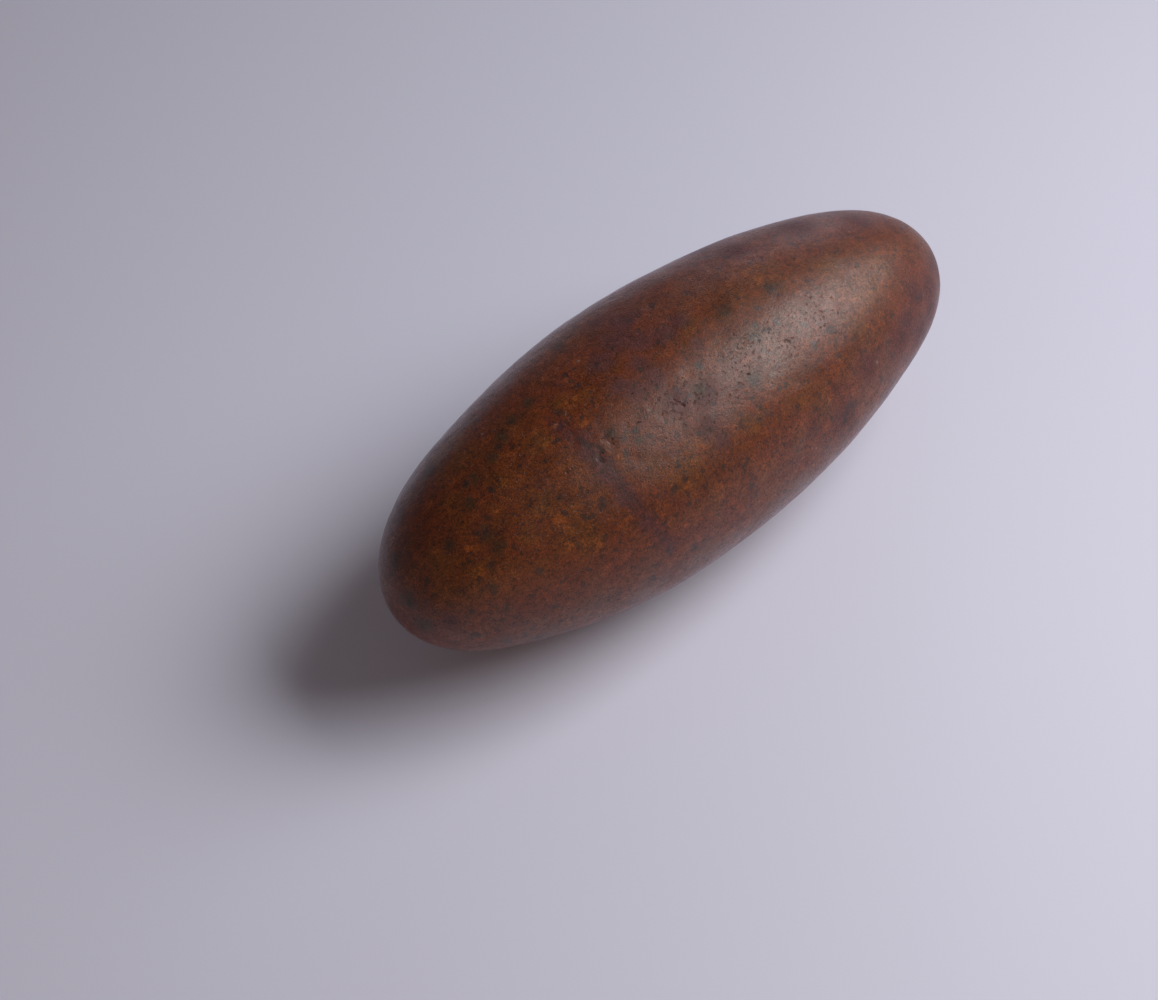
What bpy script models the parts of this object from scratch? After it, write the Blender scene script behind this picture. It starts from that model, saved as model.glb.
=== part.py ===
"""A river-worn lingam stone: one egg-long pebble of banded brown jasper, lying on its side.

The stone lies along X, blunter nose towards -X, and rests on a small worn flat underneath.
The origin is under its middle, on the surface that it lies on. Lengths are in metres.
"""

import math

import bmesh
import bpy
from mathutils import Vector

# Driving dimensions.
LENGTH = 0.101  # nose to nose, before the swells at the noses add about 1 mm
WIDTH = 0.0409  # across the middle, side to side
HEIGHT = 0.0389  # across the middle, top to underside, before the resting flat is worn
REST_FLAT_WEAR = 0.0004  # how deep the resting flat is worn into the underside

# Proportions of the free form.
NOSE_FULLNESS = 2.24  # exponent of the profile along the length; 2 is an ellipse, more is a fuller nose
BLUNTNESS = 0.035  # share of the girth that the +X half loses towards its nose and the -X half gains
SIDE_BOW = 0.004  # how far the noses bend to +Y of the middle, as a share of the half length

# Broad swells and hollows that the river left. Each row is one line along the stone, named by its
# degrees round the length from +Y over the top. It gives the rise at places along that line: the
# places are shares of the half length, and the rises are shares of the half width.
SWELLS = {
    29: {-0.85: 0.008, -0.50: -0.027, -0.10: 0.025, 0.65: -0.010, 0.92: 0.027},
    75: {-0.20: -0.010, 0.45: 0.008},
    119: {-0.90: 0.020, -0.55: -0.012, 0.40: 0.010, 0.92: 0.024},
    165: {-0.30: 0.012, 0.30: -0.014},
    209: {-0.92: 0.045, -0.72: -0.010, -0.45: 0.006, -0.10: 0.020, 0.65: -0.031, 0.92: 0.048},
    299: {-0.90: 0.030, -0.40: -0.014, 0.20: 0.012, 0.60: -0.018, 0.92: 0.030},
    345: {-0.60: 0.010, 0.10: -0.016},
}
SWELL_REACH = 0.33  # how far a swell spreads, on a ball of radius 1

FACET_ROUNDS = 5  # fineness: 1 is a ball of 20 triangles, and each step more splits each in four
SHARP_EDGE = math.radians(30)  # edges that turn more than this, as round the resting flat, stay crisp


def clear_scene():
    for leftover in list(bpy.data.objects):
        bpy.data.objects.remove(leftover)


def ball_direction(along, around_degrees):
    """The point of a unit ball at a share of the half length and an angle round the length."""
    section = math.sqrt(1 - along**2)
    around = math.radians(around_degrees)
    return Vector((along, section * math.cos(around), section * math.sin(around)))


def smooth_form(ball_point):
    """The stone without its swells, for a point of a unit ball."""
    along, side, up = ball_point
    around = math.atan2(up, side)
    profile = math.sqrt(1 - min(abs(along), 1) ** NOSE_FULLNESS)
    girth = profile * (1 - BLUNTNESS * along)
    return Vector((
        along * LENGTH / 2,
        math.cos(around) * girth * WIDTH / 2 + SIDE_BOW * along**2 * LENGTH / 2,
        math.sin(around) * girth * HEIGHT / 2,
    ))


def swell_rise(ball_point):
    """How far the swells lift the surface at a point of the unit ball."""
    rise = 0
    for around, line in SWELLS.items():
        for along, share in line.items():
            away = (ball_point - ball_direction(along, around)).length
            rise += share * WIDTH / 2 * math.exp(-((away / SWELL_REACH) ** 2))
    return rise


def stone_point(ball_point):
    """The stone's surface for a point of a unit ball: the smooth form, lifted by the swells."""
    along, side, up = ball_point
    outward = Vector((along / LENGTH, side / WIDTH, up / HEIGHT)).normalized()
    return smooth_form(ball_point) + outward * swell_rise(ball_point)


def wear_resting_flat(mesh):
    """Cuts the underside off level, so that the stone lies still, and closes the cut with one flat face."""
    underside = min(vertex.co.z for vertex in mesh.verts)
    everything = mesh.verts[:] + mesh.edges[:] + mesh.faces[:]
    cut = bmesh.ops.bisect_plane(
        mesh,
        geom=everything,
        plane_co=(0, 0, underside + REST_FLAT_WEAR),
        plane_no=(0, 0, -1),
        clear_outer=True,
    )
    rim = [piece for piece in cut["geom_cut"] if isinstance(piece, bmesh.types.BMEdge)]
    bmesh.ops.contextual_create(mesh, geom=rim)


def stand_over_origin(mesh):
    """Moves the stone so that the origin is under its middle, at the level of the flat."""
    places = [vertex.co for vertex in mesh.verts]
    lowest = Vector(min(place[axis] for place in places) for axis in range(3))
    highest = Vector(max(place[axis] for place in places) for axis in range(3))
    middle = (lowest + highest) / 2
    bmesh.ops.translate(mesh, verts=mesh.verts, vec=(-middle.x, -middle.y, -lowest.z))


def jasper():
    """Brown jasper, rubbed to a satin polish."""
    material = bpy.data.materials.new("brown_jasper")
    material.use_nodes = True
    shader = material.node_tree.nodes["Principled BSDF"]
    shader.inputs["Base Color"].default_value = (0.085, 0.032, 0.017, 1)
    shader.inputs["Roughness"].default_value = 0.42
    shader.inputs["Metallic"].default_value = 0
    return material


def make_stone():
    form = bmesh.new()
    bmesh.ops.create_icosphere(form, subdivisions=FACET_ROUNDS, radius=1)
    for vertex in form.verts:
        vertex.co = stone_point(vertex.co.normalized())
    wear_resting_flat(form)
    stand_over_origin(form)
    bmesh.ops.recalc_face_normals(form, faces=form.faces)
    mesh = bpy.data.meshes.new("lingam_stone")
    form.to_mesh(mesh)
    form.free()
    mesh.shade_smooth()
    mesh.set_sharp_from_angle(angle=SHARP_EDGE)
    mesh.materials.append(jasper())
    stone = bpy.data.objects.new("lingam_stone", mesh)
    bpy.context.scene.collection.objects.link(stone)


clear_scene()
make_stone()
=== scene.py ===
"""A river-worn lingam stone of brown jasper, lying on its worn flat on a pale floor."""

import math

import bpy
import numpy as np
from mathutils import Matrix, Vector
from mathutils.bvhtree import BVHTree


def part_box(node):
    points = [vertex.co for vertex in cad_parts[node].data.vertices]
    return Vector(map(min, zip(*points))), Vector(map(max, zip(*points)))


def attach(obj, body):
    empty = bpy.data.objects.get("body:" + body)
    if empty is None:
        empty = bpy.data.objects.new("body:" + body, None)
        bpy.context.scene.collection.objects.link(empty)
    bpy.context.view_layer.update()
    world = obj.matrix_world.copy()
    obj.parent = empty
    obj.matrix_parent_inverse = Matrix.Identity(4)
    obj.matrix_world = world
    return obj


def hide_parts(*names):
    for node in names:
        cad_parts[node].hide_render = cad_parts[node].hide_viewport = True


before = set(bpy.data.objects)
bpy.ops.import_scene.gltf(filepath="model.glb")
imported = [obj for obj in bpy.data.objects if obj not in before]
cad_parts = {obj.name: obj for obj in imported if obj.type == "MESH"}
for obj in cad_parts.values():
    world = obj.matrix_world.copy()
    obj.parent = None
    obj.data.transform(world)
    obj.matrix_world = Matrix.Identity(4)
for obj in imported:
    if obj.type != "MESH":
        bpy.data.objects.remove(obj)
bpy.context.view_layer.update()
MM = 0.001

# The stone's worn body.
# The real piece is one natural pebble of brown jasper, tumbled egg-long by a river and then rubbed
# smooth. The skin is laid evenly over the solid and worn in: slow ripples that the river left,
# shallow dimples where grains fell out, and the chips that the photograph shows.

packed_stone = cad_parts["lingam_stone"]
lowest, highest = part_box("lingam_stone")
half_size = (Vector(highest) - Vector(lowest)) / 2
middle = (Vector(highest) + Vector(lowest)) / 2
packed_surface = BVHTree.FromObject(packed_stone, bpy.context.evaluated_depsgraph_get())


def spot(along, around):
    """The point of the surface at mm along from the middle and degrees round from +Y over the top."""
    heart = Vector((along * MM, middle.y, middle.z))
    turn = math.radians(around)
    return packed_surface.ray_cast(heart, Vector((0, math.cos(turn), math.sin(turn))))[0]


# Placed dents: mm along, degrees round, radius in mm, depth in mm.
CHIP = ((-17.0, 110, 0.7, 0.07), (-16.6, 112, 0.7, 0.08), (-16.9, 114, 0.6, 0.05))
SLOT = ((-18.7, 113.5, 0.5, 0.05), (-19.1, 115.5, 0.6, 0.07), (-19.4, 117.5, 0.5, 0.05))
NICKS = ((-18.4, 88, 0.5, 0.05), (-18.9, 91, 0.6, 0.06), (-20.9, 91, 0.7, 0.05), (-20.1, 99, 0.6, 0.05))
CRACK_BED = ((-5.3, 113, 0.6, 0.06), (-4.7, 116.5, 0.6, 0.07), (4.8, 120, 0.6, 0.03))
GRAIN_BED = ((-8.6, 108, 0.7, 0.04),)
dents = CHIP + SLOT + NICKS + CRACK_BED + GRAIN_BED
dent_mesh = bpy.data.meshes.new("dents")
dent_mesh.from_pydata([spot(along, around) for along, around, _, _ in dents], [], [])
dent_radius = dent_mesh.attributes.new("dent_radius", "FLOAT", "POINT")
dent_radius.data.foreach_set("value", [radius * MM for _, _, radius, _ in dents])
dent_depth = dent_mesh.attributes.new("dent_depth", "FLOAT", "POINT")
dent_depth.data.foreach_set("value", [depth * MM for _, _, _, depth in dents])
dent_places = bpy.data.objects.new("dents", dent_mesh)
bpy.context.scene.collection.objects.link(dent_places)


def socket(sockets, key):
    """A socket by its number, or by its name among those in use."""
    if isinstance(key, int):
        return sockets[key]
    return next(end for end in sockets if end.name == key and end.enabled)


def add(tree, kind, feeds=None, **settings):
    """Adds a node. Settings are its options, and feeds give its inputs a value or an output to follow."""
    node = tree.nodes.new(kind)
    for name, value in settings.items():
        setattr(node, name, value)
    for key, value in (feeds or {}).items():
        end = socket(node.inputs, key)
        if isinstance(value, bpy.types.NodeSocket):
            tree.links.new(value, end)
        else:
            end.default_value = value
    return node


def number(tree, operation, *values):
    """A sum on single numbers, such as ADD or MULTIPLY."""
    return add(tree, "ShaderNodeMath", dict(enumerate(values)), operation=operation).outputs[0]


def vector(tree, operation, *values):
    """A sum on vectors that gives a vector."""
    return add(tree, "ShaderNodeVectorMath", dict(enumerate(values)), operation=operation).outputs[0]


def extent(tree, operation, *values):
    """A sum on vectors that gives one number, such as LENGTH or DISTANCE."""
    node = add(tree, "ShaderNodeVectorMath", dict(enumerate(values)), operation=operation)
    return node.outputs["Value"]


def scaled(tree, value, share):
    """A vector times a number."""
    return add(tree, "ShaderNodeVectorMath", {0: value, "Scale": share}, operation="SCALE").outputs[0]


def ramp(tree, value, start, end, low=0.0, high=1.0):
    """Goes smoothly from low to high while the value goes from start to end."""
    feeds = {"Value": value, "From Min": start, "From Max": end, "To Min": low, "To Max": high}
    return add(tree, "ShaderNodeMapRange", feeds, interpolation_type="SMOOTHSTEP").outputs[0]


wear = bpy.data.node_groups.new("river_worn_stone", "GeometryNodeTree")
WEAR_INPUTS = {
    "Packed Stone": "NodeSocketObject",
    "Placed Dents": "NodeSocketObject",
    "Material": "NodeSocketMaterial",
    "Middle": "NodeSocketVector",
    "Half Size": "NodeSocketVector",
    "Squares Along": "NodeSocketInt",
    "Squares Around": "NodeSocketInt",
    "Smoothing Rounds": "NodeSocketInt",
    "Ripples Per Metre": "NodeSocketFloat",
    "Ripple Height": "NodeSocketFloat",
    "Dimple Spacing": "NodeSocketFloat",
    "Dimples Per Square Metre": "NodeSocketFloat",
    "Dimple Radius": "NodeSocketFloat",
    "Dimple Depth": "NodeSocketFloat",
    "Flat Rim": "NodeSocketFloat",
    "Seed": "NodeSocketInt",
}
for name, kind in WEAR_INPUTS.items():
    wear.interface.new_socket(name, in_out="INPUT", socket_type=kind)
wear.interface.new_socket("Stone", in_out="OUTPUT", socket_type="NodeSocketGeometry")
given = wear.nodes.new("NodeGroupInput").outputs
place = add(wear, "GeometryNodeInputPosition").outputs[0]
outward = add(wear, "GeometryNodeInputNormal").outputs[0]

# An even grid on a cube is blown up to an egg-long ball, and its points are drawn out to the solid.
cube_feeds = {
    "Size": (2, 2, 2),
    "Vertices X": given["Squares Along"],
    "Vertices Y": given["Squares Around"],
    "Vertices Z": given["Squares Around"],
}
grid = add(wear, "GeometryNodeMeshCube", cube_feeds).outputs["Mesh"]
evened = vector(wear, "TANGENT", scaled(wear, place, math.pi / 4))
egg = vector(wear, "MULTIPLY", vector(wear, "NORMALIZE", evened), given["Half Size"])
packed = add(wear, "GeometryNodeObjectInfo", {"Object": given["Packed Stone"]}).outputs["Geometry"]
ray_feeds = {
    "Target Geometry": packed,
    "Source Position": given["Middle"],
    "Ray Direction": vector(wear, "NORMALIZE", egg),
    "Ray Length": 1.0,
}
reach = add(wear, "GeometryNodeRaycast", ray_feeds).outputs["Hit Distance"]
share = number(wear, "DIVIDE", reach, extent(wear, "LENGTH", egg))
blur_feeds = {"Value": share, "Iterations": given["Smoothing Rounds"]}
smooth_share = add(wear, "GeometryNodeBlurAttribute", blur_feeds, data_type="FLOAT").outputs[0]
skin_place = vector(wear, "ADD", given["Middle"], scaled(wear, egg, smooth_share))
skin = add(wear, "GeometryNodeSetPosition", {"Geometry": grid, "Position": skin_place}).outputs[0]

# Slow ripples rise and sink evenly about the skin. A noise's middle is 0.5.
ripple_feeds = {"Vector": place, "Scale": given["Ripples Per Metre"], "Detail": 4.0}
ripple = number(wear, "SUBTRACT", add(wear, "ShaderNodeTexNoise", ripple_feeds).outputs[0], 0.5)
rise = number(wear, "MULTIPLY", ripple, given["Ripple Height"])

# Dimples are strewn by the seed, each with its own share of the radius and the depth.
LEAST_DIMPLE = 0.4  # the least share of the dimple radius
strewn_feeds = {
    "Mesh": skin,
    "Distance Min": given["Dimple Spacing"],
    "Density Max": given["Dimples Per Square Metre"],
    "Seed": given["Seed"],
}
strewn = add(wear, "GeometryNodeDistributePointsOnFaces", strewn_feeds, distribute_method="POISSON")
near_feeds = {"Geometry": strewn.outputs["Points"]}
near = add(wear, "GeometryNodeProximity", near_feeds, target_element="POINTS").outputs
luck = add(wear, "ShaderNodeTexWhiteNoise", {"Vector": near["Position"]}).outputs["Value"]
dimple_radius = number(wear, "MULTIPLY", number(wear, "ADD", luck, LEAST_DIMPLE), given["Dimple Radius"])
dimple_share = ramp(wear, near["Distance"], dimple_radius, 0.0)
dimple = number(wear, "MULTIPLY", number(wear, "MULTIPLY", dimple_share, luck), given["Dimple Depth"])

# Each placed dent is a shallow bowl with a sharp rim.
marks = add(wear, "GeometryNodeObjectInfo", {"Object": given["Placed Dents"]}).outputs["Geometry"]
nearest = add(wear, "GeometryNodeSampleNearest", {"Geometry": marks}).outputs[0]
centre_feeds = {"Geometry": marks, "Index": nearest, "Value": place}
centre = add(wear, "GeometryNodeSampleIndex", centre_feeds, data_type="FLOAT_VECTOR")


def dent_size(name):
    """The size that the nearest placed dent carries under that name."""
    carried = add(wear, "GeometryNodeInputNamedAttribute", {"Name": name}).outputs[0]
    feeds = {"Geometry": marks, "Index": nearest, "Value": carried}
    return add(wear, "GeometryNodeSampleIndex", feeds).outputs[0]


away = extent(wear, "DISTANCE", place, centre.outputs[0])
bowl = number(wear, "POWER", number(wear, "DIVIDE", away, dent_size("dent_radius")), 2.0)
bowl = number(wear, "MAXIMUM", number(wear, "SUBTRACT", 1.0, bowl), 0.0)
dent = number(wear, "MULTIPLY", bowl, dent_size("dent_depth"))

# The wear fades out towards the resting flat, and nothing goes below it.
height = add(wear, "ShaderNodeSeparateXYZ", {0: place}).outputs["Z"]
off_the_flat = ramp(wear, height, 0.0, given["Flat Rim"])
worn = number(wear, "SUBTRACT", number(wear, "SUBTRACT", rise, dimple), dent)
shift = scaled(wear, outward, number(wear, "MULTIPLY", worn, off_the_flat))
stone = add(wear, "GeometryNodeSetPosition", {"Geometry": skin, "Offset": shift}).outputs[0]
level = vector(wear, "MAXIMUM", place, (-1, -1, 0))
stone = add(wear, "GeometryNodeSetPosition", {"Geometry": stone, "Position": level}).outputs[0]
stone = add(wear, "GeometryNodeSetShadeSmooth", {"Geometry": stone}).outputs[0]
stone = add(wear, "GeometryNodeRealizeInstances", {"Geometry": stone}).outputs[0]
stone = add(wear, "GeometryNodeSetMaterial", {"Geometry": stone, "Material": given["Material"]}).outputs[0]
wear.links.new(stone, wear.nodes.new("NodeGroupOutput").inputs["Stone"])

jasper = bpy.data.materials.new("worn_brown_jasper")
WEAR_SIZES = {
    "Packed Stone": packed_stone,
    "Placed Dents": dent_places,
    "Material": jasper,
    "Middle": middle,
    "Half Size": half_size,
    "Squares Along": 205,
    "Squares Around": 85,
    "Smoothing Rounds": 40,
    "Ripples Per Metre": 90.0,
    "Ripple Height": 0.0004,
    "Dimple Spacing": 0.004,
    "Dimples Per Square Metre": 40000.0,
    "Dimple Radius": 0.0013,
    "Dimple Depth": 0.00006,
    "Flat Rim": 0.0015,
    "Seed": 7,
}
worn_stone = bpy.data.objects.new("worn_stone", bpy.data.meshes.new("worn_stone"))
bpy.context.scene.collection.objects.link(worn_stone)
wearing = worn_stone.modifiers.new("wear", "NODES")
wearing.node_group = wear
for item in wear.interface.items_tree:
    if item.in_out == "INPUT":
        wearing[item.identifier] = WEAR_SIZES[item.name]
evaluated = worn_stone.evaluated_get(bpy.context.evaluated_depsgraph_get())
worn_mesh = bpy.data.meshes.new_from_object(evaluated)
worn_stone.modifiers.clear()
worn_stone.data = worn_mesh
bpy.data.objects.remove(dent_places)

# The jasper's colours.
# Iron stains the brown jasper ochre and rust, with plum and olive clouds, dark slate specks and
# a soft plum vein. The stains of the seen side lie about where the photograph shows them, and those
# of the far side lie by lot. Two of them carry painted light: the fawn streak along the top ridge is
# partly a painted highlight, and the plum stains low on the right are partly painted shade.

# Stains of the seen side: mm along, degrees round, reach in mm.
OCHRE = [
    (-46.5, 126, 2.4), (-44.4, 106, 2.4), (-41.2, 128, 2.1), (-38.4, 81, 2.4), (-35.4, 46, 2.4),
    (-34.5, 66, 3.0), (-33.3, 126, 2.4), (-31.9, 94, 1.8), (-31.2, 51, 2.2), (-29.4, 118, 2.7),
    (-28.1, 178, 2.7), (-27.2, 137, 3.2), (-24.2, 91, 2.1), (-18.0, 81, 1.8), (-17.2, 122, 2.1),
    (-14.6, 86, 2.0), (-13.7, 132, 2.1), (-9.4, 141, 3.5), (-6.6, 161, 2.1), (2.5, 138, 2.4),
    (5.1, 86, 1.8), (8.9, 160, 2.1), (11.3, 144, 2.0), (12.9, 88, 1.8), (14.7, 152, 2.9),
    (18.9, 84, 2.9), (20.2, 149, 2.1), (20.5, 84, 2.0), (26.5, 136, 2.7), (28.3, 101, 2.4),
    (29.0, 116, 2.4), (32.3, 122, 2.8), (36.5, 112, 2.4),
]
EMBER = [
    (-41.3, 129, 1.0), (-40.6, 113, 0.8), (-34.6, 106, 0.8), (-29.2, 141, 1.0), (-28.8, 128, 1.6),
    (-25.8, 148, 1.2), (-23.7, 85, 0.9), (-21.2, 90, 0.8), (-17.7, 98, 0.9), (-16.8, 119, 0.9),
    (-10.3, 146, 0.9), (-6.2, 155, 1.2), (16.4, 152, 0.9), (16.8, 82, 0.9), (17.8, 88, 1.4),
]
# Partly a pale fawn streak, partly a painted highlight laid along the top ridge towards the right-hand end.
FAWN_AND_HIGHLIGHT = [(31.7, 117, 2.6), (36.2, 114, 2.0), (27.2, 117, 2.0), (40.8, 110, 1.6)]
# Plum stains. Those low on the right-hand side and the nose, from 18 mm along and 143 to 172 degrees round,
# are partly painted shade beside the reflected rim.
PLUM_AND_SHADE = [
    (-46.9, 159, 1.3), (-20.7, 92, 0.8), (-20.2, 110, 1.5), (-19.9, 122, 1.6), (-19.4, 135, 1.5),
    (-18.3, 150, 1.3), (-10.2, 94, 1.8), (-9.5, 78, 2.2), (-9.0, 100, 2.0), (-5.6, 100, 2.1),
    (-5.5, 90, 1.6), (-5.0, 74, 3.0), (-5.0, 114, 2.4), (-4.8, 115, 2.2), (-3.5, 55, 2.4),
    (-3.5, 129, 1.9), (-3.0, 81, 2.4), (-2.8, 138, 1.5), (-2.0, 66, 2.6), (-2.0, 120, 2.0),
    (-0.8, 118, 2.6), (0.5, 84, 2.0), (3.0, 99, 1.2), (3.7, 84, 1.6), (18.0, 41, 2.6),
    (18.0, 168, 2.6), (20.0, 62, 2.6), (25.3, 154, 2.4), (31.0, 62, 3.4), (33.0, 158, 3.0),
    (36.2, 154, 3.2), (38.0, 172, 3.2), (39.5, 143, 2.6), (40.0, 74, 2.6), (42.0, 167, 3.2),
    (43.4, 154, 3.4), (47.8, 149, 3.2),
]
OLIVE = [
    (-49.7, 118, 1.8), (-49.6, 167, 2.1), (-47.9, 63, 1.5), (-42.3, 103, 1.2), (-38.0, 111, 1.5),
    (-37.6, 122, 1.3), (-36.9, 92, 1.2), (-36.6, 50, 1.6), (-34.2, 82, 1.3), (-30.3, 81, 1.2),
    (-27.2, 76, 1.3), (-24.3, 72, 1.2), (-21.1, 70, 1.2), (-15.8, 109, 0.9), (-13.2, 118, 0.9),
    (-10.5, 52, 1.3), (-1.3, 115, 1.3), (6.2, 124, 1.5), (9.7, 93, 1.3), (10.9, 110, 1.2),
    (18.1, 94, 1.3),
]
SLATE = [
    (-49.8, 122, 0.6), (-49.1, 62, 0.6), (-44.4, 154, 0.6), (-42.7, 121, 0.5), (-42.3, 103, 0.5),
    (-42.2, 141, 0.5), (-40.3, 160, 0.7), (-39.6, 130, 0.6), (-38.9, 108, 0.6), (-36.5, 105, 0.7),
    (-35.4, 81, 0.8), (-34.6, 146, 0.8), (-28.8, 79, 0.7), (-28.6, 95, 0.5), (-27.1, 119, 0.6),
    (-26.6, 73, 0.6), (-25.5, 101, 0.5), (-23.1, 56, 0.5), (-22.8, 133, 0.7), (-19.6, 106, 0.6),
    (-18.3, 119, 0.5), (-15.7, 120, 0.7), (-14.9, 114, 0.7), (-12.8, 114, 0.8), (-12.7, 72, 0.5),
    (-11.7, 119, 0.6), (-11.3, 153, 0.5), (-10.7, 175, 0.5), (-10.1, 78, 0.6), (-5.2, 130, 0.6),
    (-4.4, 148, 0.6), (-1.1, 164, 0.7), (0.8, 107, 0.8), (3.9, 140, 0.6), (4.1, 88, 0.5),
    (6.2, 126, 0.8), (7.5, 109, 0.5), (10.4, 90, 0.5), (10.5, 146, 0.6), (11.9, 106, 0.7),
    (17.8, 128, 0.8), (18.3, 95, 0.7), (18.4, 118, 0.6),
]
PITTED = [
    (-7.4, 106, 2.4), (-6.2, 119, 2.9), (-2.6, 131, 2.1), (-1.5, 116, 3.8), (3.1, 127, 2.7),
    (8.4, 111, 3.8), (13.1, 111, 2.7), (14.3, 122, 2.1), (20.9, 120, 2.2), (21.7, 110, 1.8),
]

# The plum vein's line: mm along, degrees round.
VEIN = ((-20.4, 92), (-19.7, 105), (-19.3, 117), (-19.2, 130), (-18.3, 142), (-17.5, 154), (-16.4, 166))

FAR_SIDE_SEED = 11
FAR_SIDE_REACH = 46  # mm to either side of the middle
FAR_SIDE_ROUND = (185, 395)  # degrees round
far_side = np.random.default_rng(FAR_SIDE_SEED)


def by_lot(count, smallest, largest):
    """Stains strewn over the far side, with a reach between the two."""
    along = far_side.uniform(-FAR_SIDE_REACH, FAR_SIDE_REACH, count)
    around = far_side.uniform(*FAR_SIDE_ROUND, count) % 360
    reach = far_side.uniform(smallest, largest, count)
    return list(zip(along, around, reach))


skin_points = np.empty(len(worn_mesh.vertices) * 3)
worn_mesh.vertices.foreach_get("co", skin_points)
skin_points = skin_points.reshape(-1, 3)


def keep(name, values):
    """Keeps one number for each point of the skin, for the material to read."""
    worn_mesh.attributes.new(name, "FLOAT", "POINT").data.foreach_set("value", values)


def keep_stains(name, stains):
    """Keeps how near each point is to the nearest of the stains: 1 in its middle, fading with its reach."""
    strength = np.zeros(len(skin_points))
    for along, around, stain_reach in stains:
        gap = np.linalg.norm(skin_points - np.array(spot(along, around)), axis=1)
        strength = np.maximum(strength, np.exp(-((gap / (stain_reach * MM)) ** 2)))
    keep(name, strength)


keep_stains("ochre", OCHRE + by_lot(26, 2.0, 3.5))
keep_stains("ember", EMBER + by_lot(14, 0.8, 1.4))
# The fawn streak is partly a painted highlight along the top ridge.
keep_stains("fawn_and_highlight", FAWN_AND_HIGHLIGHT + by_lot(5, 1.6, 2.6))
# The plum stains low on the right are partly painted shade.
keep_stains("plum_and_shade", PLUM_AND_SHADE + by_lot(16, 1.3, 2.4))
keep_stains("olive", OLIVE + by_lot(18, 1.2, 2.0))
keep_stains("slate", SLATE + by_lot(48, 0.5, 0.8))
keep_stains("pitted", PITTED + by_lot(8, 2.0, 3.6))
vein_gap = np.full(len(skin_points), np.inf)
vein_line = [np.array(spot(along, around)) for along, around in VEIN]
for start, end in zip(vein_line, vein_line[1:]):
    run = end - start
    way = np.clip((skin_points - start) @ run / (run @ run), 0, 1)
    vein_gap = np.minimum(vein_gap, np.linalg.norm(skin_points - start - way[:, None] * run, axis=1))
keep("vein_gap", vein_gap / MM)

jasper.use_nodes = True
paint = jasper.node_tree
shader = paint.nodes["Principled BSDF"]
at = add(paint, "ShaderNodeTexCoord").outputs["Object"]


def clouds(size, detail, roughness, mirrored=(1, 1, 1)):
    """Soft noise about 0.5 in patches of that size in mm. Mirroring its place gives another pattern."""
    where = vector(paint, "MULTIPLY", at, mirrored)
    feeds = {"Vector": where, "Scale": 1 / (size * MM), "Detail": detail, "Roughness": roughness}
    return add(paint, "ShaderNodeTexNoise", feeds).outputs[0]


def kept(name):
    """A number that the skin keeps for each of its points."""
    return add(paint, "ShaderNodeAttribute", attribute_name=name).outputs["Fac"]


def laid(share, under, over):
    """One colour laid over another by a share."""
    feeds = {"Factor": share, "A": under, "B": over}
    return add(paint, "ShaderNodeMix", feeds, data_type="RGBA").outputs["Result"]


def part_of(value, share):
    """A share of a number."""
    return number(paint, "MULTIPLY", value, share)


def uneven(value, noise, amount):
    """A number with noise about 0.5 added, so that edges drawn from it are ragged."""
    return number(paint, "ADD", value, part_of(number(paint, "SUBTRACT", noise, 0.5), amount))


def stain(name, wavering, ragged, start, end):
    """How strongly a kept stain shows, with a wavering and ragged edge, between 0 and 1."""
    return ramp(paint, uneven(uneven(kept(name), middling, wavering), fine, ragged), start, end)


LEAST_GRAIN = 0.45  # the least share of a grain's usual width
GRAIN_CORE = 0.45  # the share of its width that is solid, inside a soft edge
GRAIN_RAGGEDNESS = 0.35  # how much the edge wavers, as a share of what the grain fills


def grains(size, chosen, fill, shift=0.0):
    """Uneven grains in cells of that size in mm: the chosen share of cells hold one, filling that share."""
    where = vector(paint, "ADD", at, (shift * MM, shift * MM, shift * MM))
    cells = add(paint, "ShaderNodeTexVoronoi", {"Vector": where, "Scale": 1 / (size * MM)}).outputs
    drawn = add(paint, "ShaderNodeSeparateColor", {0: cells["Color"]}).outputs
    wide = part_of(number(paint, "ADD", drawn["Green"], LEAST_GRAIN), fill)
    edge = uneven(cells["Distance"], fine, GRAIN_RAGGEDNESS * fill)
    grain = ramp(paint, edge, wide, part_of(wide, GRAIN_CORE))
    return part_of(grain, number(paint, "LESS_THAN", drawn["Red"], chosen))


DARK_BROWN = (0.058, 0.0108, 0.0018, 1)
BROWN = (0.120, 0.0262, 0.0028, 1)
PALE_BROWN = (0.205, 0.0535, 0.0085, 1)
OCHRE_TINT = (1.02, 1.26, 0.90, 1)
RUST_TINT = (1.02, 0.84, 0.78, 1)
EMBER_ORANGE = (0.245, 0.0600, 0.0050, 1)
# Pale fawn, which also paints a highlight along the top ridge.
FAWN_AND_HIGHLIGHT_BROWN = (0.205, 0.0610, 0.0210, 1)
# Plum brown, which also paints shade low on the right-hand side and the nose.
PLUM_AND_SHADE_BROWN = (0.072, 0.0145, 0.0135, 1)
OLIVE_BROWN = (0.044, 0.0190, 0.0062, 1)
SLATE_BROWN = (0.027, 0.0125, 0.0082, 1)
PIT_RED = (0.040, 0.0065, 0.0028, 1)
PALE_GRAIN = (0.30, 0.21, 0.17, 1)

# How much of what lies under them the stains and marks cover at their strongest.
PLUM_AND_SHADE_SHARE = 0.82
OLIVE_SHARE = 0.9
VEIN_SHARE = 0.7
VEIN_CORE_SHARE = 0.3
EMBER_SHARE = 0.65
FAWN_AND_HIGHLIGHT_SHARE = 0.35
SLATE_SHARE = 0.9
SPECK_SHARE = 0.7
DOT_SHARE = 0.38
PIT_SHARE = 0.88
PALE_GRAIN_SHARE = 0.35
CRACK_SHARE = 0.85
PALE_MARK_SHARE = 0.55

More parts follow.
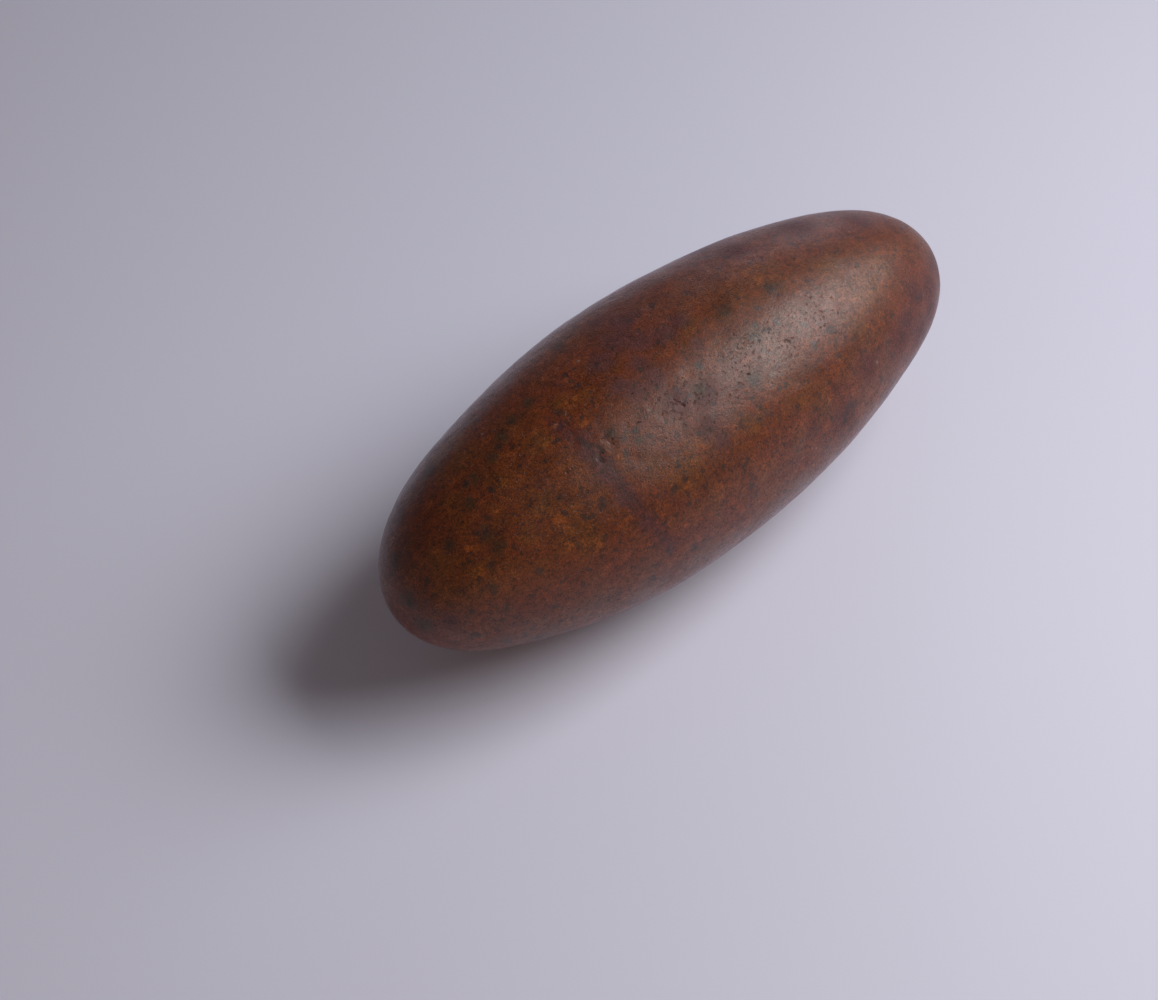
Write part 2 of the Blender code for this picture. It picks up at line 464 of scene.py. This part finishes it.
# Noises that the colours and the relief share, from the broadest to the finest.
broad = clouds(15, 2, 0.5)
middling = clouds(4.5, 3, 0.6)
mottle = clouds(2.4, 6, 0.8)
fine = clouds(0.9, 4, 0.75)
hue = clouds(3.1, 6, 0.8, (1, -1, 1))
grit = clouds(0.3, 3, 0.9)

# The ground: pale, brown and dark grains mixed at every size, tinted ochre or rust in patches.
colour = laid(ramp(paint, mottle, 0.31, 0.5), DARK_BROWN, BROWN)
colour = laid(ramp(paint, mottle, 0.5, 0.72), colour, PALE_BROWN)
ochre = ramp(paint, uneven(uneven(uneven(kept("ochre"), broad, 0.6), middling, 0.8), hue, 3.6), 0.0, 1.4)
rust = ramp(paint, uneven(uneven(broad, middling, 0.6), hue, 0.9), 0.64, 0.36)
tint = laid(rust, (1, 1, 1, 1), RUST_TINT)
tint = laid(ochre, tint, OCHRE_TINT)
colour = vector(paint, "MULTIPLY", colour, tint)

# The stains, softest first.
# Plum stains, partly painted shade low on the right-hand side and the nose.
plum_and_shade = stain("plum_and_shade", 0.8, 2.4, 0.05, 1.0)
colour = laid(part_of(plum_and_shade, PLUM_AND_SHADE_SHARE), colour, PLUM_AND_SHADE_BROWN)
olive = stain("olive", 0.9, 2.6, 0.1, 1.0)
colour = laid(part_of(olive, OLIVE_SHARE), colour, OLIVE_BROWN)
wandering = uneven(uneven(kept("vein_gap"), middling, 2.8), fine, 2.8)
colour = laid(ramp(paint, wandering, 2.0, 0.2, 0.0, VEIN_SHARE), colour, PLUM_AND_SHADE_BROWN)
colour = laid(ramp(paint, wandering, 0.7, 0.0, 0.0, VEIN_CORE_SHARE), colour, SLATE_BROWN)
ember = stain("ember", 0.8, 2.4, 0.35, 1.2)
colour = laid(part_of(ember, EMBER_SHARE), colour, EMBER_ORANGE)
# A pale fawn streak, partly a painted highlight along the top ridge towards the right-hand end.
fawn_and_highlight = stain("fawn_and_highlight", 0.8, 2.4, 0.1, 1.0)
colour = laid(part_of(fawn_and_highlight, FAWN_AND_HIGHLIGHT_SHARE), colour, FAWN_AND_HIGHLIGHT_BROWN)
specks = ramp(paint, clouds(1.9, 2, 0.55, (-1, 1, 1)), 0.62, 0.69)
dots = grains(2.3, 0.36, 0.13, 5)
slate = ramp(paint, uneven(kept("slate"), fine, 2.4), 0.25, 1.0)
slate = number(paint, "MAXIMUM", part_of(slate, SLATE_SHARE), part_of(specks, SPECK_SHARE))
slate = number(paint, "MAXIMUM", slate, part_of(dots, DOT_SHARE))
colour = laid(slate, colour, SLATE_BROWN)

# Pits where grains fell out, most of them in the pitted patches, and a few pale grains.
pitted = ramp(paint, uneven(kept("pitted"), middling, 0.7), 0.1, 0.9)
crumbs = number(paint, "ADD", clouds(0.6, 3, 0.65), part_of(pitted, 0.075))
pits = ramp(paint, crumbs, 0.635, 0.70)
pit_share = number(paint, "ADD", part_of(pitted, 0.55), 0.12)
pits = number(paint, "MAXIMUM", pits, part_of(grains(0.9, pit_share, 0.19), 0.9))
colour = laid(part_of(pits, PIT_SHARE), colour, PIT_RED)
colour = laid(part_of(grains(2.3, 0.22, 0.07, 3), PALE_GRAIN_SHARE), colour, PALE_GRAIN)


def gap_to(start, end):
    """How far the surface is from a straight mark between two places on it, in mm."""
    first = spot(*start) / MM
    run = spot(*end) / MM - first
    back = vector(paint, "SUBTRACT", scaled(paint, at, 1 / MM), first)
    way = part_of(extent(paint, "DOT_PRODUCT", back, run), 1 / run.length_squared)
    way = number(paint, "MINIMUM", number(paint, "MAXIMUM", way, 0.0), 1.0)
    return extent(paint, "DISTANCE", back, scaled(paint, tuple(run), way))


def drawn_marks(marks):
    """The strongest of some marks: two places on the surface and a half width in mm for each."""
    strongest = 0.0
    for start, end, half_width in marks:
        edge = uneven(uneven(gap_to(start, end), fine, 3.0 * half_width), grit, 3.5 * half_width)
        strongest = number(paint, "MAXIMUM", ramp(paint, edge, half_width, 0.3 * half_width), strongest)
    return strongest


# Dark cracks and slots, and pale crushed edges and grains, where the photograph shows them.
CRACKS = (
    ((-5.4, 112.7), (-4.9, 115.2), 0.14),
    ((-4.9, 115.2), (-4.6, 117.3), 0.26),
    ((6.2, 121.5), (6.3, 121.8), 0.16),
    ((-18.8, 113.6), (-19.3, 116.8), 0.30),
    ((-17.3, 108.4), (-16.4, 109.2), 0.20),
    ((-16.2, 110.5), (-16.5, 113.4), 0.22),
    ((-18.6, 91.5), (-19.0, 93), 0.16),
    ((-11.6, 112), (-11.5, 112.2), 0.22),
    ((-9.6, 100), (-9.5, 100.3), 0.20),
)
PALE_MARKS = (
    ((-17.0, 110.8), (-16.9, 112.4), 0.15),
    ((-19.7, 114.4), (-19.8, 115.1), 0.13),
    ((-18.4, 88), (-18.9, 89.6), 0.10),
    ((-20.9, 90), (-20.7, 90.5), 0.18),
    ((-28.6, 65), (-28.5, 65.2), 0.30),
    ((-11.3, 70), (-11.2, 70.2), 0.30),
    ((9.4, 127), (9.7, 127.6), 0.55),
    ((17.9, 112), (18.0, 112.1), 0.20),
    ((26.9, 156), (27.0, 156.3), 0.32),
    ((-9.4, 110), (-9.2, 110.4), 0.24),
    ((11.7, 171), (11.8, 171.2), 0.26),
)
cracks = drawn_marks(CRACKS)
pale_marks = drawn_marks(PALE_MARKS)
colour = laid(part_of(cracks, CRACK_SHARE), colour, PIT_RED)
colour = laid(part_of(pale_marks, PALE_MARK_SHARE), colour, PALE_GRAIN)

# Every colour is lightened and darkened in fine grains.
FINE_CONTRAST = 2.5
GRIT_CONTRAST = 4.0
shade = number(paint, "ADD", 1.0, part_of(number(paint, "SUBTRACT", fine, 0.5), FINE_CONTRAST))
shade = number(paint, "ADD", shade, part_of(number(paint, "SUBTRACT", grit, 0.5), GRIT_CONTRAST))
colour = scaled(paint, colour, shade)
paint.links.new(colour, shader.inputs["Base Color"])

# A satin rub: glossier on the smooth parts, matt in the pits and in the plum stains and painted shade
# low on the right, with a fine uneven skin.
ROUGHEST_RUB = 0.46
SMOOTHEST_RUB = 0.29
HOLLOW_ROUGHNESS = 0.3  # added in pits and cracks
PLUM_AND_SHADE_ROUGHNESS = 0.16  # added in plum stains and in the painted shade low on the right
hollow = number(paint, "MAXIMUM", part_of(pits, 0.6), cracks)
patchy = uneven(uneven(middling, fine, 1.0), grit, 1.0)
rub = ramp(paint, patchy, 0.2, 0.8, ROUGHEST_RUB, SMOOTHEST_RUB)
matt = number(paint, "ADD", part_of(hollow, HOLLOW_ROUGHNESS), part_of(plum_and_shade, PLUM_AND_SHADE_ROUGHNESS))
paint.links.new(number(paint, "ADD", rub, matt), shader.inputs["Roughness"])
shader.inputs["IOR"].default_value = 1.54
shader.inputs["Sheen Weight"].default_value = 0.30
shader.inputs["Sheen Roughness"].default_value = 0.24
shader.inputs["Sheen Tint"].default_value = (0.80, 0.73, 0.92, 1)

RELIEF_DEPTH = 0.00012
FINE_RELIEF = 0.25  # shares of that depth
HOLLOW_RELIEF = 0.4
GRIT_RELIEF = 0.38
relief = number(paint, "SUBTRACT", part_of(fine, FINE_RELIEF), part_of(hollow, HOLLOW_RELIEF))
relief = number(paint, "ADD", relief, part_of(grit, GRIT_RELIEF))
bump_feeds = {"Strength": 1.0, "Distance": RELIEF_DEPTH, "Height": relief}
paint.links.new(add(paint, "ShaderNodeBump", bump_feeds).outputs[0], shader.inputs["Normal"])

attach(worn_stone, "root")
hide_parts("lingam_stone")

# The floor.
# A plain, pale and matt floor, which reaches well past the stone on every side.

FLOOR_SIDE = 6.0
floor_half = FLOOR_SIDE / 2
floor_mesh = bpy.data.meshes.new("floor")
floor_corners = [
    (-floor_half, -floor_half, 0),
    (floor_half, -floor_half, 0),
    (floor_half, floor_half, 0),
    (-floor_half, floor_half, 0),
]
floor_mesh.from_pydata(floor_corners, [], [(0, 1, 2, 3)])
floor = bpy.data.objects.new("floor", floor_mesh)
bpy.context.scene.collection.objects.link(floor)
pale = bpy.data.materials.new("pale_floor")
pale.use_nodes = True
pale_shader = pale.node_tree.nodes["Principled BSDF"]
pale_shader.inputs["Base Color"].default_value = (0.75, 0.76, 0.90, 1)
pale_shader.inputs["Roughness"].default_value = 0.7
floor_mesh.materials.append(pale)

# The light.
# One broad soft light stands to the right of the view. A pale one behind the stone and two weak
# warm fills, low in front and at the left, are soft panels too. A faint light comes from all round.

world = bpy.data.worlds.new("dim_room")
bpy.context.scene.world = world
world.use_nodes = True
world.node_tree.nodes["Background"].inputs["Color"].default_value = (1.0, 0.93, 0.97, 1)
world.node_tree.nodes["Background"].inputs["Strength"].default_value = 0.08


def towards(azimuth, elevation):
    """The way to the eye or a lamp: azimuth 0 is -Y and 90 is +X, and elevation is above the floor."""
    turn = math.radians(azimuth)
    rise = math.radians(elevation)
    return Vector((
        math.sin(turn) * math.cos(rise),
        -math.cos(turn) * math.cos(rise),
        math.sin(rise),
    ))


LIT_FLOOR_AZIMUTH = 0  # where the floor is lit most, as seen from the stone
GRID_HALF_SPREAD = math.radians(52)  # grids on the panels let the floor darken away from the light


def softbox(name, azimuth, elevation, distance, width, height, brightness, colour, lead=0.0):
    """A soft panel whose face has that brightness, aimed at a place lead metres beside the stone."""
    # A grid gathers the light, which makes the face brighter by this gain.
    grid_gain = math.tan(GRID_HALF_SPREAD) / (math.tan(GRID_HALF_SPREAD) - GRID_HALF_SPREAD)
    light = bpy.data.lights.new(name, "AREA")
    light.shape = "RECTANGLE"
    light.size = width
    light.size_y = height
    light.energy = brightness / grid_gain * math.pi * width * height
    light.color = colour
    light.spread = 2 * GRID_HALF_SPREAD
    panel = bpy.data.objects.new(name, light)
    panel.location = middle + towards(azimuth, elevation) * distance
    faced = middle + towards(LIT_FLOOR_AZIMUTH, 0) * lead
    panel.rotation_euler = (panel.location - faced).to_track_quat("Z", "Y").to_euler()
    panel.visible_camera = False
    bpy.context.scene.collection.objects.link(panel)


softbox("window", 62, 42, 0.5, 0.40, 0.32, 8.3, (1.0, 0.98, 0.98), 0.12)
softbox("warm_fill", -25, 12, 0.9, 0.7, 0.4, 1.08, (1.0, 0.60, 0.36))
softbox("pale_wall", 133, 8, 1.2, 0.45, 0.5, 2.2, (0.76, 0.81, 1.0))
softbox("warm_side", -100, 18, 0.9, 0.6, 0.4, 0.45, (1.0, 0.60, 0.36))

# The camera.
# It looks down on the stone from the photograph's side, from a little under half a metre away.

CAMERA_AZIMUTH = -40.6
CAMERA_ELEVATION = 54
CAMERA_DISTANCE = 0.45
LENS = 94.85
PHOTO_WIDTH = 1158
SENSOR_WIDTH = 36
STONE_RIGHT_OF_MIDDLE = 89.5  # pixels of the photograph
STONE_ABOVE_MIDDLE = 78.5

camera_data = bpy.data.cameras.new("camera")
camera_data.lens = LENS
camera_data.sensor_width = SENSOR_WIDTH
camera = bpy.data.objects.new("camera", camera_data)
bpy.context.scene.collection.objects.link(camera)
bpy.context.scene.camera = camera
eye_way = towards(CAMERA_AZIMUTH, CAMERA_ELEVATION)
eye = middle + eye_way * CAMERA_DISTANCE
level_right = Vector((math.cos(math.radians(CAMERA_AZIMUTH)), math.sin(math.radians(CAMERA_AZIMUTH)), 0))
level_up = eye_way.cross(level_right)
pixel = CAMERA_DISTANCE * SENSOR_WIDTH / LENS / PHOTO_WIDTH
aim = middle - level_right * STONE_RIGHT_OF_MIDDLE * pixel - level_up * STONE_ABOVE_MIDDLE * pixel
back = (eye - aim).normalized()
right = level_up.cross(back).normalized()
up = back.cross(right)
turned = Matrix((right, up, back)).transposed()
camera.matrix_world = Matrix.Translation(eye) @ turned.to_4x4()
camera_data.clip_start = 0.01
camera_data.clip_end = 20

bpy.context.scene.view_settings.view_transform = "Standard"
